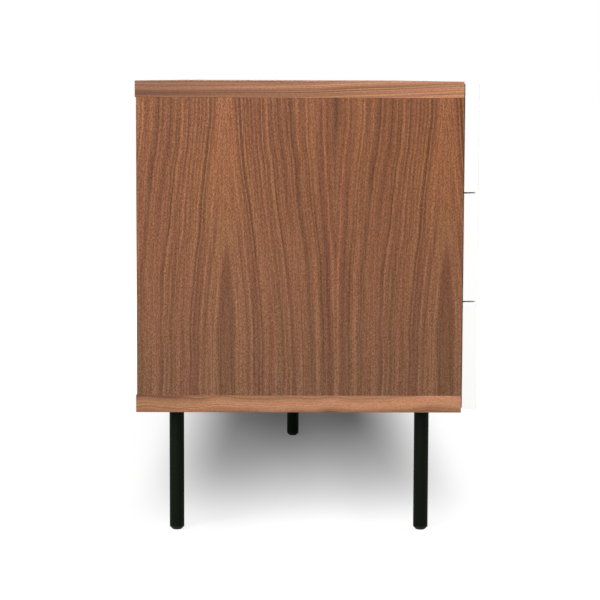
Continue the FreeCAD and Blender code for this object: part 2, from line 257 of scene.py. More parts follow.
def new_tree(title, kind, inputs, outputs):
    """A tree with named sockets, the values that it is given and its output node."""
    tree = bpy.data.node_groups.new(title, kind)
    for name, value in inputs.items():
        socket_type = "NodeSocket" + socket_kind(value)
        made = tree.interface.new_socket(label(name), in_out="INPUT", socket_type=socket_type)
        if not isinstance(value, str):
            made.default_value = value
    for name, output_kind in outputs.items():
        socket_type = "NodeSocket" + output_kind
        tree.interface.new_socket(name, in_out="OUTPUT", socket_type=socket_type)
    sockets = tree.nodes.new("NodeGroupInput").outputs
    given = SimpleNamespace(**{name: Value(sockets[label(name)]) for name in inputs})
    return tree, given, tree.nodes.new("NodeGroupOutput")


def surface_group(title, recipe, **inputs):
    """A shader group whose recipe turns a place into a colour, a roughness and a height."""
    outputs = {"Color": "Color", "Roughness": "Float", "Height": "Float"}
    inputs = {"place": (0, 0, 0), **inputs}
    group, given, result = new_tree(title, "ShaderNodeTree", inputs, outputs)
    for name, value in zip(outputs, recipe(given)):
        feed(result, name, value)
    print(title, "group:", len(group.nodes), "nodes")
    return group


def object_place(tree):
    """The place on the object, in metres."""
    return source(tree, "ShaderNodeTexCoord", "Object")


def finish(name, group, relief, fixed, where=object_place, **values):
    """A material with a group's pattern, and with a shader that has some fixed values."""
    material = bpy.data.materials.new(name)
    material.use_nodes = True
    tree = material.node_tree
    inputs = {"Place": where(tree), **{label(word): value for word, value in values.items()}}
    pattern = add_node(tree, "ShaderNodeGroup", inputs, node_tree=group)
    colour, roughness, height = [Value(socket) for socket in pattern.outputs]
    bump = wired("ShaderNodeBump", {"Height": height, "Strength": 1.0, "Distance": relief})
    feeds = {**fixed, "Base Color": colour, "Roughness": roughness, "Normal": bump}
    for socket, value in feeds.items():
        feed(tree.nodes["Principled BSDF"], socket, value)
    return material


# %% [markdown]
# ## Light, floor and background
# The picture is a studio shot on white. A large soft lamp stands behind the camera and
# reaches a little way under the body. The lamps stay at a level at which a colour looks as
# it is written. The white of the surroundings doesn't come from them: the camera and the
# reflections see a white world, and the floor glows by itself. The floor below the body
# darkens gradually towards the middle, partly in the lamps' real shadow on a dim grey floor
# and mostly as painted shadow, where the glow is left out.

# %% World and lamps
ROOM_LIGHT = 0.15
WHITE = (1, 1, 1, 1)


def seen_by(tree, *rays):
    """1 for light that goes along one of these kinds of ray, and 0 for all other light."""
    path = tree.nodes.new("ShaderNodeLightPath").outputs
    found = Value(path[rays[0]])
    for ray in rays[1:]:
        found = calc("MAXIMUM", found, Value(path[ray]))
    return found


world = bpy.data.worlds.new("white_room")
bpy.context.scene.world = world
world.use_nodes = True
room = world.node_tree
seen = seen_by(room, "Is Camera Ray", "Is Glossy Ray", "Is Transmission Ray")
feed(room.nodes["Background"], "Color", WHITE)
feed(room.nodes["Background"], "Strength", evenly(seen, 0.0, 1.0, ROOM_LIGHT, 1.0))

# name: place, what it looks at, width, height, watts
LAMPS = {
    "end_lamp": ((-3.6, 1.5, 1.6), (-0.9, 0.05, 0.4), 2.4, 2.0, 131),
    "front_lamp": ((0.2, -2.9, 3.05), (0, -0.2, 0.4), 3.4, 1.6, 142),
    "back_lamp": ((0.2, 2.5, 3.3), (0, 0.2, 0.4), 3.4, 1.6, 66),
    "far_lamp": ((3.6, 0, 2.4), (0.9, 0, 0.4), 2.2, 1.8, 60),
    "roof_lamp": ((0, 0, 3.4), (0, 0, 0.6), 3.4, 2.2, 15),
}


def add_lamp(name, place, target, width, height, watts):
    """A soft rectangular lamp that looks at a target."""
    data = bpy.data.lights.new(name, "AREA")
    data.shape = "RECTANGLE"
    data.size, data.size_y = width, height
    data.energy = watts
    lamp = bpy.data.objects.new(name, data)
    lamp.location = place
    lamp.rotation_euler = (Vector(target) - Vector(place)).to_track_quat("-Z", "Y").to_euler()
    bpy.context.scene.collection.objects.link(lamp)


for name, values in LAMPS.items():
    add_lamp(name, *values)
bpy.context.scene.view_settings.view_transform = "Standard"
print("lamps:", len(LAMPS))

# %% [markdown]
# The floor is one large, dim grey matt sheet that glows for the camera and for reflections.
# The glow paints the shadow below the body, shaped as on white studio paper, where the shade
# fades out to every side: the glow is weakest behind the middle, grows along the length and
# comes back beside the body.

# %% Floor glow that paints the shadow
DARKEST_X = 0.3
# the shade is darkest behind the middle, so it ends sooner towards the far end
FAR_STRETCH = 2.0
GLOW_LEAST = 0.077
GLOW_GAIN = 0.69
GLOW_CURVE = 1.8
# the half-width at which the shade starts to lift, below the far and the near part
LIFT_X = (0.2, -0.6)
LIFT_FAR, LIFT_NEAR = 0.106, 0.153
SIDE_END, SIDE_GLOW = 0.295, 0.80
FAR_END, FAR_GLOW = 1.3, 0.3
# the lamps reach under the body from the end and the front, so the glow gives way there,
# which paints the shade there a little darker
NEAR_DIP, NEAR_DIP_X, NEAR_DIP_Y = 0.11, (0.1, -0.45), (0.02, 0.14)
FRONT_DIP, FRONT_DIP_X, FRONT_DIP_Y = 0.09, (-0.35, 0.25), (-0.02, -0.13)


def glow_painting_shadow(tree):
    """How strongly the floor glows at each place; where it glows little, it paints the shadow.
    """
    x, y, _ = parts_of(object_place(tree))
    sideways = abs(y)
    from_darkest = DARKEST_X - x
    lengthways = calc("MAXIMUM", from_darkest, from_darkest * -FAR_STRETCH)
    from_end = lengthways**GLOW_CURVE * GLOW_GAIN + GLOW_LEAST
    near_dip = between(x, *NEAR_DIP_X, 0.0, NEAR_DIP) * between(sideways, *NEAR_DIP_Y)
    front_dip = between(y, *FRONT_DIP_Y, 0.0, FRONT_DIP) * between(x, *FRONT_DIP_X)
    below = calc("MAXIMUM", from_end - (near_dip + front_dip), 0.0)
    lift = between(sideways, evenly(x, *LIFT_X, LIFT_FAR, LIFT_NEAR), SIDE_END)
    beside = below + lift * calc("MAXIMUM", SIDE_GLOW - below, 0.0)
    far_off = evenly(sideways, SIDE_END, FAR_END, 0.0, FAR_GLOW)
    return calc("MINIMUM", beside + far_off, 1.0)


# %% Floor
FLOOR_REACH = 60
FLOOR_GREY = (0.23, 0.23, 0.23, 1)

floor_mesh = bpy.data.meshes.new("floor")
floor_corners = [(-1, -1, 0), (1, -1, 0), (1, 1, 0), (-1, 1, 0)]
floor_points = [Vector(corner) * FLOOR_REACH for corner in floor_corners]
floor_mesh.from_pydata(floor_points, [], [(0, 1, 2, 3)])
floor = bpy.data.objects.new("floor", floor_mesh)
bpy.context.scene.collection.objects.link(floor)
floor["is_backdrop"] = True

floor_material = bpy.data.materials.new("floor_white")
floor_material.use_nodes = True
tree = floor_material.node_tree
tree.nodes.remove(tree.nodes["Principled BSDF"])
matt = source(tree, "ShaderNodeBsdfDiffuse", inputs={"Color": FLOOR_GREY})
# the glow, seen by the camera and in reflections, paints the shadow below the body
strength = glow_painting_shadow(tree) * seen_by(tree, "Is Camera Ray", "Is Glossy Ray")
glow = source(tree, "ShaderNodeEmission", inputs={"Color": WHITE, "Strength": strength})
both = wired("ShaderNodeAddShader", {0: matt, 1: glow})
# nothing hides the underside when the camera looks up from below the floor
clear = source(tree, "ShaderNodeBsdfTransparent")
from_below = source(tree, "ShaderNodeNewGeometry", "Backfacing")
surface = wired("ShaderNodeMixShader", {0: from_below, 1: both, 2: clear})
feed(tree.nodes["Material Output"], "Surface", surface)
floor_mesh.materials.append(floor_material)
print("floor:", 2 * FLOOR_REACH, "m wide, with", len(tree.nodes), "nodes in its material")

# %% [markdown]
# ## Walnut veneer
# Veneer is sliced from a log, so each leaf shows the log's growth rings cut at a slant:
# straight lines at its sides and nested arches in its middle. Here a leaf is wrapped
# across the panel as a real one is repeated, the distance from the leaf's middle gives
# the ring, and an opening that grows along the grain spreads the arches. Bands of light
# and dark wood follow the rings. Fine fibres and pores lie straight along the grain.
# One group holds all of this, and every veneered face gives it its own values.

# %% Veneer group
RING_REACH = 180 * MM
# How light the wood is at rings that lie this many millimetres from the leaf's middle.
RING_TONES = (
    (0, 0.54), (8, 0.34), (12, 0.32), (15, 0.60), (19, 0.84), (23, 0.64), (36, 0.54),
    (43, 0.42), (48, 0.14), (51, 0.52), (53, 0.10), (56, 0.58), (60, 0.48), (64, 0.32),
    (68, 0.50), (72, 0.78), (75, 0.58), (79, 0.32), (84, 0.50), (90, 0.54), (93, 0.88),
    (96, 0.38), (100, 0.34), (106, 0.56), (117, 0.52), (126, 0.34), (131, 0.52),
    (150, 0.48), (163, 0.52), (168, 0.80), (172, 0.24), (180, 0.4),
)
OPENING_CALMS = (50 * MM, 170 * MM)
OPENING_AT_SEAM = 0.42
HEART_ROUNDING = 4 * MM
PORE_TINT = (0.60, 0.46, 0.36, 1)
OLIVE_TINT = (0.97, 1.012, 0.96, 1)
ROSE_TINT = (1.03, 0.988, 1.03, 1)


def veneer(given):
    """The rings of a leaf with their bands and fine lines, and the fibres and pores on top."""
    across, along, seed = parts_of(given.place)
    half = given.leaf_width * 0.5
    in_leaf = calc("WRAP", across, half, half * -1.0)
    leaf = place_at(in_leaf, along, seed)

    # the middle line of a leaf sways slowly and bends a little
    slow = noise(leaf, (7, 2.4, 1), 1.0)
    kink = noise(leaf, (10, 12, 1), 1.0)
    middle = in_leaf + (swing(slow, given.waver) * 2.0 + swing(kink, given.waver))
    from_middle = calc("SQRT", middle**2.0 + HEART_ROUNDING**2)
    spread = between(along, given.opening_start, given.opening_end, 0.0, given.opening)
    ring = from_middle + spread * between(from_middle, *OPENING_CALMS, 1.0, OPENING_AT_SEAM)

    bands = wired("ShaderNodeValToRGB", {0: ring / RING_REACH})
    stops = bands.socket.node.color_ramp.elements
    for millimetres, _ in RING_TONES[1:-1]:
        stops.new(millimetres * MM / RING_REACH)
    for stop, (_, tone) in zip(stops, RING_TONES):
        stop.color = (tone, tone, tone, 1)

    # finer lines follow the rings, and are crisper in the upper part of the panel
    ring_number = ring / given.ring_pitch
    flow = place_at(ring_number, along, seed)
    growth = noise(flow, (1, 1.2, 1), 4.0, 0.62)
    streak = noise(flow, (3.6, 1.8, 1), 2.0, 0.65)
    crisp = evenly(along, given.foot_end, given.foot_start, 1.1, 2.4)
    # close to the middle of a leaf the cut runs along one ring, so the fine lines fade
    plain = between(from_middle, 0.004, 0.020, 0.35, 1.0)
    phase = calc("FRACT", ring_number * 0.85 + growth + streak)
    line = between(phase, 0.70, 0.94) * between(phase, 1.0, 0.95)
    line = line * between(slow, 0.3, 0.7, 0.35, 1.0)
    heart = between(ring, 0.050, 0.046) * between(along, 0.40, 0.55)
    cloud = noise(leaf, (9, 3, 1), 1.0)
    tone = 0.5 + swing(bands, given.bands) + swing(growth, given.growth)
    tone = tone + swing(streak, given.growth * crisp * plain) + swing(cloud, 0.24)
    tone = tone - line * given.rings + heart * given.heart + along * given.drift
    colour = mixed(evenly(tone, 0.0, 1.0), given.dark, given.light)

    # the hue turns a little from ring to ring. Towards the foot a tint changes the colour;
    # on the end panel this tint is a painted reflection of the white floor
    hue = noise(flow, (0.9, 3.0, 1), 3.0, 0.6)
    colour = tinted(colour, mixed(between(hue, 0.36, 0.64), OLIVE_TINT, ROSE_TINT))
    foot_share = evenly(along, given.foot_start, given.foot_end)
    colour = tinted(colour, mixed(foot_share, WHITE, given.foot))

    # fibres and pores lie straight along the grain
    fibre = noise(leaf, (620, 11, 1), 3.0, 0.7)
    pore = noise(leaf, (900, 330, 1), 1.0)
    fine = 0.5 + (swing(fibre, 2.1) + swing(pore, 3.6)) * given.fibre
    fine = evenly(fine, 0.0, 1.0)
    colour = tinted(colour, mixed(fine, PORE_TINT, WHITE))
    return colour, between(fine, 0.0, 1.0, given.rough, given.smooth), fine


veneer_group = surface_group(
    "Veneer", veneer, leaf_width=0.3215, opening=0.036, opening_start=0.0, opening_end=0.4,
    waver=0.008, ring_pitch=0.012, bands=0.86, heart=0.0, growth=0.84, rings=0.12,
    fibre=1.0, drift=0.0, dark=(0.118, 0.0438, 0.0184, 1), light=(0.398, 0.1632, 0.0740, 1),
    foot=WHITE, foot_start=0.65, foot_end=0.21, smooth=0.42, rough=0.62,
)


def turned_to(across, along):
    """The rotation that brings one axis of the object to a pattern's X and another to its Y."""
    first, second = Vector(across), Vector(along)
    return Matrix((first, second, first.cross(second))).to_euler()


def veneered(name, across, along, centre, **values):
    """Walnut veneer whose grain runs along one axis, with a leaf's middle at a place."""

    def turned_place(tree):
        inputs = {"Rotation": turned_to(across, along), "Location": centre}
        return wired("ShaderNodeMapping", {"Vector": object_place(tree), **inputs})

    fixed = {"Specular IOR Level": 0.15}
    return finish(name, veneer_group, 0.12 * MM, fixed, turned_place, **values)


# %% [markdown]
# The end panel carries two leaves with the grain upright, and its arches open downwards.
# The ends of the top and bottom boards have their own strips with the grain lying along
# them: straight lines that rise to the front above, and slow waves below. Both strips
# are lighter than the panel, and get lighter towards the front. On the top, the back and
# the long edges the grain runs the whole length, as a veneerer lays it. The top and the
# back are a little more matt than the ends, so that the lamps leave no glare on them.

# %% Walnut finishes
LEAF_MIDDLE = 0.1189
END_GRAIN = {"opening": 0.036, "opening_start": 0.28, "opening_end": 0.70, "heart": 0.15}
# the end panel turns greyer towards its foot, a painted reflection of the white floor
LOWER_PAINTED_SHEEN = {"foot": (0.99, 1.24, 1.61, 1), "foot_start": 0.56}
# the long faces have no lower part, so their fine lines are equally strong all along
EVEN_LINES = {"foot_start": 3.0, "foot_end": -2.0}

walnut = {
    "panel": veneered(
        "walnut_panel", (0, -1, 0), (0, 0, 1), (LEAF_MIDDLE, 0, 0.31), **END_GRAIN, **LOWER_PAINTED_SHEEN
    ),
    "panel_edge": veneered(
        "walnut_panel_edge", (1, 0, 0), (0, 0, 1), (0.05, 0, 0.9), ring_pitch=0.004, bands=0.2
    ),
    "top_band": veneered(
        "walnut_top_band", (0, 0, -1), (0, -1, 0), (0.735, 0, 2.3), leaf_width=0.5,
        opening=0.012, opening_start=-0.08, opening_end=0.3, waver=0.002, ring_pitch=0.0055,
        bands=0.5, growth=0.8, rings=0.2, drift=1.3, fibre=0.35, foot=(0.94, 0.97, 0.97, 1),
        foot_start=0.05, foot_end=-0.25,
        dark=(0.168, 0.081, 0.047, 1), light=(0.706, 0.357, 0.208, 1),
    ),
    "bottom_band": veneered(
        "walnut_bottom_band", (0, 0, 1), (0, -1, 0), (-0.1785, 0, 6.3), leaf_width=0.5,
        opening=0.004, opening_start=-0.2, opening_end=0.2, waver=0.030, ring_pitch=0.009,
        bands=1.4, growth=0.9, rings=0.50, drift=1.0, fibre=0.3,
        dark=(0.190, 0.089, 0.0465, 1), light=(0.622, 0.328, 0.185, 1),
    ),
    "long_face": veneered(
        "walnut_long_face", (0, 1, 0), (1, 0, 0), (0.03, 0, 3.1), leaf_width=0.24,
        opening=0.07, opening_start=-0.9, opening_end=0.9, waver=0.014, ring_pitch=0.014,
        bands=0.8, smooth=0.60, rough=0.80, **EVEN_LINES,
    ),
    "back_face": veneered(
        "walnut_back", (0, 0, 1), (1, 0, 0), (-0.41, 0, 5.7), leaf_width=0.60,
        opening=0.08, opening_start=0.9, opening_end=-0.9, waver=0.02, ring_pitch=0.016,
        bands=0.6, growth=0.7, smooth=0.60, rough=0.80, **EVEN_LINES,
        dark=(0.125, 0.056, 0.029, 1), light=(0.375, 0.170, 0.088, 1),
    ),
    "underside": veneered(
        "dark_underside", (0, 1, 0), (1, 0, 0), (0.03, 0, 8.2), leaf_width=0.24, bands=0.3,
        **EVEN_LINES, dark=(0.020, 0.018, 0.016, 1), light=(0.060, 0.054, 0.050, 1),
    ),
    "long_edge": veneered(
        "walnut_long_edge", (0, 0, 1), (1, 0, 0), (0.04, 0, 4.4), leaf_width=0.5,
        opening=0.02, opening_start=-0.9, opening_end=0.9, waver=0.004, ring_pitch=0.006,
        bands=0.1, growth=0.9, **EVEN_LINES,
    ),
}
print("walnut finishes:", ", ".join(walnut))

# %% [markdown]
# ## Boards
# The carcass boards have the right shape already, so each one is a copy of its solid.
# The copy's loose triangles are merged back into flat faces first, and a small bevel
# then breaks the arrises as sandpaper does. A face takes its veneer from the way that
# it looks, because a real board is covered face by face.

# %% Mesh helpers
SAME_PLACE = 1e-6
FLAT = radians(2)
SHARP = radians(40)
ARRIS = 0.35 * MM


def new_piece(name, shape):
    """A mesh object from a bmesh, which is then freed."""
    mesh = bpy.data.meshes.new(name)
    shape.to_mesh(mesh)
    shape.free()
    piece = bpy.data.objects.new(name, mesh)
    bpy.context.scene.collection.objects.link(piece)
    return piece


def copy_of(node):
    """A bmesh of a solid's mesh with its triangles joined into whole faces again."""
    shape = bmesh.new()
    shape.from_mesh(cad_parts[node].data)
    bmesh.ops.remove_doubles(shape, verts=shape.verts, dist=SAME_PLACE)
    bmesh.ops.dissolve_limit(
        shape, angle_limit=FLAT, verts=shape.verts, edges=shape.edges, delimit=set()
    )
    return shape


def settled(piece):
    """The piece with its modifiers turned into plain mesh."""
    bpy.context.view_layer.update()
    evaluated = piece.evaluated_get(bpy.context.evaluated_depsgraph_get())
    mesh = bpy.data.meshes.new_from_object(evaluated)
    piece.modifiers.clear()
    piece.data = mesh
    return piece


def soften(piece, radius=ARRIS, segments=3):
    """Rounds every sharp edge of the piece."""
    for face in piece.data.polygons:
        face.use_smooth = True
    bevel = piece.modifiers.new("arris", "BEVEL")
    bevel.limit_method = "ANGLE"
    bevel.angle_limit = SHARP
    bevel.width = radius
    bevel.segments = segments
    bevel.harden_normals = True
    return settled(piece)


def paint(piece, materials, below=None):
    """Gives each face the material named for the axis that it looks along most."""
    order = list(dict.fromkeys((*materials, below or materials[2])))
    piece.data.materials.clear()
    for material in order:
        piece.data.materials.append(material)
    for face in piece.data.polygons:
        sizes = [abs(part) for part in face.normal]
        chosen = materials[sizes.index(max(sizes))]
        if below and face.normal.z < -cos(SHARP):
            chosen = below
        face.material_index = order.index(chosen)
    return piece


def covered(piece, material):
    """The piece in one material all over."""
    piece.data.materials.clear()
    piece.data.materials.append(material)
    return piece


def dress(piece, body, slot, *replaced):
    """The piece rides on a body and stands for some solids, which are hidden. The slot is not
    used.
    """
    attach(piece, body)
    if replaced:
        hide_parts(*replaced)
    return piece


# %% Carcass boards
BOARDS = {
    "top_panel": ("top_band", "long_edge", "long_face"),
    "bottom_panel": ("bottom_band", "long_edge", "long_face"),
    "side_panel_left": ("panel", "panel_edge", "panel_edge"),
    "side_panel_right": ("panel", "panel_edge", "panel_edge"),
    "centre_divider": ("panel", "panel_edge", "panel_edge"),
}
for node, faces in BOARDS.items():
    board = soften(new_piece("veneered_" + node, copy_of(node)))
    below = walnut["underside"] if node == "bottom_panel" else None
    paint(board, [walnut[face] for face in faces], below)
    dress(board, "carcass", "walnut_veneer", node)
back = soften(new_piece("rear_board", copy_of("back_panel")))
dress(covered(back, walnut["back_face"]), "carcass", "back_board", "back_panel")
print("carcass boards:", len(BOARDS) + 1)

# %% [markdown]
# ## Plywood
# The drawer boxes are birch plywood. Its faces are pale with a faint broad figure, and
# its cut edges show the plies as thin stripes, every other one darker because its grain
# points at the viewer. The stripes follow each board and not the object, so every board
# stores a place of its own: along its length, across its width and through its
# thickness. The two groups read that place.

# %% Plywood groups
PLY = 1.5 * MM
GLUE = (0.16, 0.09, 0.05, 1)
FLECK = (0.34, 0.21, 0.11, 1)


def ply_stripes(given):
    """The cut edge: plies in turn pale and dark, with a thin line of glue between."""
    _, _, through = parts_of(given.place)
    ragged = noise(given.place, (160, 160, 900))
    wave = abs(calc("FRACT", through / (given.ply * 2.0) + ragged * 0.08) - 0.5)
    dark_ply = between(wave, 0.23, 0.27)
    glue = between(abs(wave - 0.25), 0.05, 0.0)
    fibre = noise(given.place, (90, 90, 3000))
    pale = mixed(fibre, (0.60, 0.45, 0.28, 1), (0.72, 0.57, 0.38, 1))
    dark = mixed(fibre, (0.36, 0.24, 0.13, 1), (0.46, 0.31, 0.18, 1))
    colour = mixed(glue * 0.6, mixed(dark_ply, pale, dark), GLUE)
    return colour, between(fibre, 0.3, 0.7, 0.55, 0.7), fibre - dark_ply


def birch(given):
    """The face: a faint broad figure, fine fibres and short darker flecks."""
    broad = noise(given.place, (1.6, 11, 3), 3.0, 0.55)
    rings = abs(calc("FRACT", broad * 9.0) - 0.5)
    fibre = noise(given.place, (24, 900, 3), 2.0, 0.6)
    fleck = between(noise(given.place, (380, 1700, 3), 1.0), 0.62, 0.72)
    colour = mixed(rings * 0.5 + fibre * 0.7, given.dark, given.light)
    colour = mixed(fleck * 0.25, colour, FLECK)
    return colour, between(fibre, 0.3, 0.7, 0.40, 0.52), fibre


def board_place(tree):
    """The place that each board stores for itself."""
    return source(tree, "ShaderNodeAttribute", "Vector", attribute_name="board_place")


ply_edge_group = surface_group("Ply Edge", ply_stripes, ply=PLY)
birch_group = surface_group(
    "Birch Face", birch, dark=(0.50, 0.365, 0.222, 1), light=(0.65, 0.515, 0.345, 1)
)
SATIN = {"Specular IOR Level": 0.35}
ply_face = finish("birch_face", birch_group, 0.05 * MM, SATIN, board_place)
ply_edge = finish("birch_edge", ply_edge_group, 0.15 * MM, SATIN, board_place)

# %% Boards that store their own places


def islands(mesh):
    """The corner numbers of each separate board in a mesh."""
    shape = bmesh.new()
    shape.from_mesh(mesh)
    waiting = set(shape.verts)
    found = []
    while waiting:
        edge = [waiting.pop()]
        island = []
        while edge:
            corner = edge.pop()
            island.append(corner.index)
            near = {link.other_vert(corner) for link in corner.link_edges} & waiting
            waiting -= near
            edge.extend(near)
        found.append(island)
    shape.free()
    return sorted(found, key=min)


def paint_boards(piece, face_material, edge_material):
    """Stores each board's own place, and paints its faces and its cut edges."""
    mesh = piece.data
    places = mesh.attributes.new("board_place", "FLOAT_VECTOR", "POINT")
    through_axis = {}
    for number, island in enumerate(islands(mesh)):
        corners = [mesh.vertices[index].co for index in island]
        low = [min(corner[axis] for corner in corners) for axis in range(3)]
        size = [max(corner[axis] for corner in corners) - low[axis] for axis in range(3)]
        through, across, along = sorted(range(3), key=lambda axis: size[axis])
        for index in island:
            place = mesh.vertices[index].co
            values = [place[axis] - low[axis] for axis in (along, across, through)]
            places.data[index].vector = (values[0] + number, values[1], values[2])
            through_axis[index] = through
    mesh.materials.clear()
    mesh.materials.append(face_material)
    mesh.materials.append(edge_material)
    for face in mesh.polygons:
        axis = through_axis[face.vertices[0]]
        face.material_index = 0 if abs(face.normal[axis]) > cos(SHARP) else 1
    return piece


# %% [markdown]
# ## White fronts
# Each front is a lacquered board with a long slot for the fingers and no other handle.
# The board and the cutter are simple slabs. The slot is cut first, and one bevel then
# rounds the rim and the lip of the slot alike, as a router bit does. The lacquer is a
# fine matt white whose surface is never quite flat, so it gets a very low relief and a
# slightly uneven gloss. The black powder of the legs, the plastic of the glides and the
# rubber of the bumpers differ from it only in their values, so all share one group.

# %% Coats


def coat(given):
    """Paint, powder, plastic or rubber: a fine relief, uneven gloss and a faint tint."""
    fine = noise(given.place, given.grain)
    cloud = noise(given.place, (6, 6, 6))
    colour = mixed(between(cloud, 0.35, 0.65), given.shade, given.base)
    gloss = between(cloud * 0.5 + fine * 0.5, 0.35, 0.65, given.smooth, given.rough)
    return colour, gloss, fine


coat_group = surface_group(
    "Coat", coat, grain=900.0, base=(0.8, 0.8, 0.8, 1), shade=(0.7, 0.7, 0.7, 1),
    smooth=0.3, rough=0.4,
)
white_lacquer = finish(
    "white_lacquer", coat_group, 0.02 * MM, {"Specular IOR Level": 0.4},
    grain=700.0, base=(0.960, 0.960, 0.955, 1), shade=(0.950, 0.950, 0.944, 1),
    smooth=0.36, rough=0.46,
)
black_powder = finish(
    "black_powder", coat_group, 0.06 * MM, {"Specular IOR Level": 0.072},
    grain=1400.0, base=(0.0013, 0.0034, 0.0007, 1), shade=(0.0008, 0.0026, 0.0003, 1),
    smooth=0.55, rough=0.72,
)
black_plastic = finish(
    "black_plastic", coat_group, 0.03 * MM, {"Specular IOR Level": 0.12},
    grain=900.0, base=(0.004, 0.004, 0.004, 1), shade=(0.003, 0.003, 0.003, 1),
    smooth=0.45, rough=0.6,
)
clear_rubber = finish(
    "clear_rubber", coat_group, 0.02 * MM,
    {"Specular IOR Level": 0.5, "Transmission Weight": 0.35},
    grain=500.0, base=(0.80, 0.80, 0.77, 1), shade=(0.74, 0.74, 0.70, 1),
    smooth=0.22, rough=0.34,
)

# %% Outlines and slabs
ARC_STEPS = 24


def arc(centre, radius, start, end, steps=ARC_STEPS):
    """Points on an arc, its two ends included."""
    turns = [start + (end - start) * step / steps for step in range(steps + 1)]
    return [(centre[0] + radius * cos(turn), centre[1] + radius * sin(turn)) for turn in turns]


def box_outline(low_u, high_u, low_v, high_v):
    """A rectangle between its limits on two axes."""
    return [(low_u, low_v), (high_u, low_v), (high_u, high_v), (low_u, high_v)]


def slot_outline(centre, width, height):
    """A slot with two round ends."""
    radius = height / 2
    reach = width / 2 - radius
    ends = arc((centre[0] + reach, centre[1]), radius, -pi / 2, pi / 2)
    return ends + arc((centre[0] - reach, centre[1]), radius, pi / 2, 3 * pi / 2)


def slab(outline, axis, low, high, shape=None):
    """Adds an outline, extruded along an axis, to a bmesh. Its points lie on the other axes."""
    shape = shape or bmesh.new()
    first, second = [other for other in range(3) if other != axis]
    rings = []
    for level in (low, high):
        ring = []
        for point in outline:
            place = [0, 0, 0]
            place[axis], place[first], place[second] = level, point[0], point[1]
            ring.append(shape.verts.new(place))
        rings.append(ring)
    made = [shape.faces.new(ring) for ring in rings]
    for index in range(len(outline)):
        after = (index + 1) % len(outline)
        corners = [rings[0][index], rings[0][after], rings[1][after], rings[1][index]]
        made.append(shape.faces.new(corners))
    bmesh.ops.recalc_face_normals(shape, faces=made)
    return shape


def carve(piece, cutter_shape):
    """Cuts a bmesh out of the piece."""
    cutter = new_piece("cutter", cutter_shape)
    cut = piece.modifiers.new("cut", "BOOLEAN")
    cut.operation = "DIFFERENCE"
    cut.solver = "EXACT"
    cut.object = cutter
    settled(piece)
    bpy.data.objects.remove(cutter)
    return piece


# %% Drawer fronts
GRIP_LENGTH = 120 * MM
GRIP_HEIGHT = 28 * MM
GRIP_DROP = 42 * MM
FRONT_RADIUS = 0.6 * MM
SPARE = 5 * MM


def grip_centre(drawer):
    """The middle of a front's slot, on X and Z."""
    low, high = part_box("front_" + drawer)
    return (low.x + high.x) / 2, high.z - GRIP_DROP


for drawer in DRAWERS:
    low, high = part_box("front_" + drawer)
    board = slab(box_outline(low.x, high.x, low.z, high.z), 1, low.y, high.y)
    front = new_piece("lacquered_front_" + drawer, board)
    slot = slot_outline(grip_centre(drawer), GRIP_LENGTH, GRIP_HEIGHT)
    carve(front, slab(slot, 1, low.y - SPARE, high.y + SPARE))
    soften(front, FRONT_RADIUS, 4)
    covered(front, white_lacquer)
    dress(front, "drawer_" + drawer, "white_lacquer", "front_" + drawer)
print("fronts:", len(DRAWERS))

# %% [markdown]
# ## Drawer boxes
# A box is four grooved boards round a thin bottom. The boards are copies of their
# solids. The dip in the front board, which makes room for the fingers, gets rounded
# corners before the arrises are broken, because a jigsaw turns no sharp corner.

# %% Drawer boxes
DIP_RADIUS = 14 * MM
# the dip's corners lie nearer to its middle than this, and higher above the board's foot
DIP_REACH = 125 * MM
DIP_RISE = 40 * MM


def round_the_dip(shape, drawer):
    """Rounds the four corners of the dip in the box's front board."""
    middle, _ = grip_centre(drawer)
    lowest = min(corner.co.z for corner in shape.verts) + DIP_RISE
    chosen = []
    for edge in shape.edges:
        start, end = (corner.co for corner in edge.verts)
        across_board = abs(start.x - end.x) < SAME_PLACE and abs(start.z - end.z) < SAME_PLACE
        if across_board and abs(start.x - middle) < DIP_REACH and start.z > lowest:
            chosen.append(edge)
    bmesh.ops.bevel(
        shape, geom=chosen, offset=DIP_RADIUS, offset_type="OFFSET", segments=8,
        profile=0.5, affect="EDGES", clamp_overlap=True,
    )
    return len(chosen)


for drawer in DRAWERS:
    ends_shape = copy_of("box_ends_" + drawer)
    rounded = round_the_dip(ends_shape, drawer)
    shapes = {
        "drawer_sides": ("box_sides_", copy_of("box_sides_" + drawer)),
        "drawer_ends": ("box_ends_", ends_shape),
        "drawer_floor": ("box_bottom_", copy_of("box_bottom_" + drawer)),
    }
    for name, (node, shape) in shapes.items():
        board = soften(new_piece(name + "_" + drawer, shape))
        paint_boards(board, ply_face, ply_edge)
        dress(board, "drawer_" + drawer, "drawer_ply", node + drawer)
print("drawer boxes:", len(DRAWERS), "with", rounded, "rounded corners in each dip")

# %% [markdown]
# ## Turned parts
# Legs, glides, bumpers and screw heads are all round, so each is a profile turned about
# an upright line. A closed profile makes a tube with a real wall.

# %% Turned parts
TURN_STEPS = 64


